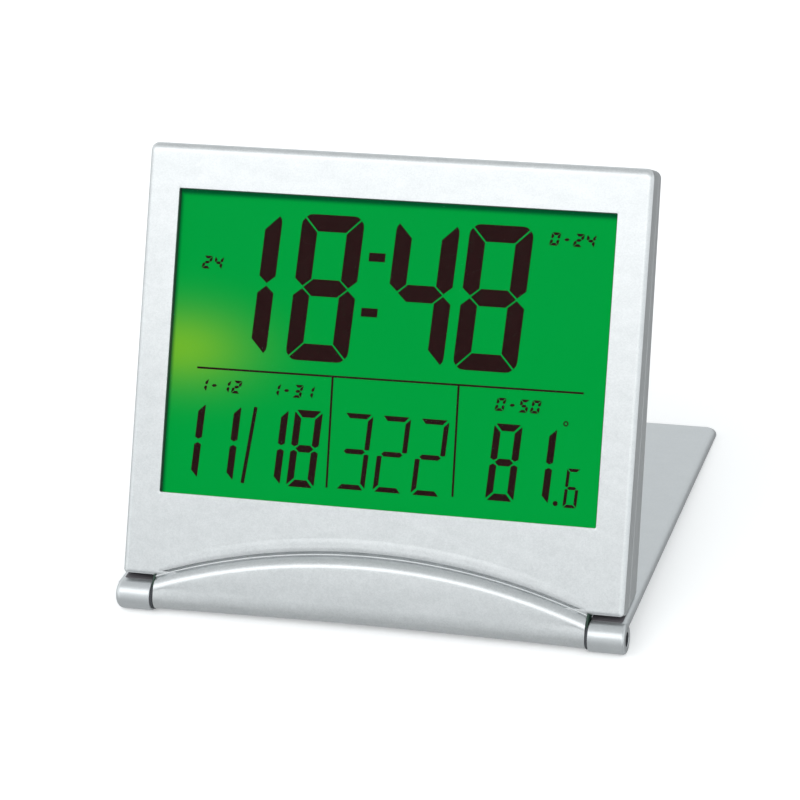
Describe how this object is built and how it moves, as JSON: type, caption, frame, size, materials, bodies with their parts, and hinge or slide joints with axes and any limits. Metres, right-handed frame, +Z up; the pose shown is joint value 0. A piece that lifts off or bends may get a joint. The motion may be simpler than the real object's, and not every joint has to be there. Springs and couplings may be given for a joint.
{
  "type": "digital alarm clock",
  "caption": "Folding travel alarm clock: a thin silver case with a large green display leans on its hinged cover, which is the stand.",
  "frame": {"origin": "middle of the footprint on the table, below the opened and standing clock", "axes": "+X along the hinge to the right as seen from the front, +Y to the rear, +Z up"},
  "size_m": [0.0864, 0.0776, 0.0693],
  "materials": {
    "case_silver": "fine metallic silver paint, satin",
    "cover_silver": "fine metallic silver paint, satin",
    "clear_window": "clear acrylic",
    "display_green": "lit green display with dark segments",
    "contact_rubber": "ribbed dark rubber",
    "guide_acrylic": "frosted clear acrylic",
    "reflector_foil": "bright foil",
    "lamp_resin": "tinted clear resin",
    "white_plastic": "moulded",
    "board_green": "solder mask",
    "black_resin": "satin resin",
    "steel": "plated",
    "brass": "bright",
    "button_grey": "moulded, satin"
  },
  "bodies": {
    "clock_body": {"front_case": "case_silver", "rear_case": "case_silver", "display_window": "clear_window", "display_glass": "display_green", "display_frame": "white_plastic", "light_guide": "guide_acrylic", "reflector_sheet": "reflector_foil", "backlight_lamp": "lamp_resin", "contact_strip": "contact_rubber", "circuit_board": "board_green", "chip_cover": "black_resin", "quartz_crystal": "steel", "temperature_sensor": "black_resin", "buzzer_disc": "brass", "coin_cell": "steel", "contact_negative": "brass", "contact_positive": "brass", "case_screw_1": "steel", "case_screw_2": "steel", "case_screw_3": "steel", "case_screw_4": "steel", "board_screw_1": "steel", "board_screw_2": "steel", "resistor_1": "black_resin", "resistor_2": "black_resin", "resistor_3": "black_resin", "resistor_4": "black_resin", "resistor_5": "black_resin", "resistor_6": "black_resin", "snap_dome_light": "steel", "snap_dome_down": "steel", "snap_dome_up": "steel", "snap_dome_set": "steel", "snap_dome_mode": "steel"},
    "cover": {"cover": "cover_silver", "hinge_pin_left": "steel", "hinge_pin_right": "steel"},
    "battery_cap": {"battery_cap": "case_silver"},
    "button_light": {"button_light": "button_grey"},
    "button_down": {"button_down": "button_grey"},
    "button_up": {"button_up": "button_grey"},
    "button_set": {"button_set": "button_grey"},
    "button_mode": {"button_mode": "button_grey"}
  },
  "joints": [
    {"name": "cover_hinge", "type": "hinge", "parent": "clock_body", "child": "cover", "pos_m": [0, -0.03628, 0.0025], "axis": [-1, 0, 0], "range_deg": [0, 294.4]},
    {"name": "cap_turn", "type": "hinge", "parent": "clock_body", "child": "battery_cap", "pos_m": [0.017, -0.01949, 0.01863], "axis": [0, 0.9084, -0.418], "range_deg": [0, 45]},
    {"name": "light_press", "type": "slide", "parent": "clock_body", "child": "button_light", "axis": [0, -0.8876, 0.4607], "range_m": [0, 0.0005], "stiffness_N_per_m": 1500},
    {"name": "down_press", "type": "slide", "parent": "clock_body", "child": "button_down", "axis": [0, -0.8876, 0.4607], "range_m": [0, 0.0005], "stiffness_N_per_m": 1500},
    {"name": "up_press", "type": "slide", "parent": "clock_body", "child": "button_up", "axis": [0, -0.8876, 0.4607], "range_m": [0, 0.0005], "stiffness_N_per_m": 1500},
    {"name": "set_press", "type": "slide", "parent": "clock_body", "child": "button_set", "axis": [0, -0.8876, 0.4607], "range_m": [0, 0.0005], "stiffness_N_per_m": 1500},
    {"name": "mode_press", "type": "slide", "parent": "clock_body", "child": "button_mode", "axis": [0, -0.8876, 0.4607], "range_m": [0, 0.0005], "stiffness_N_per_m": 1500}
  ]
}
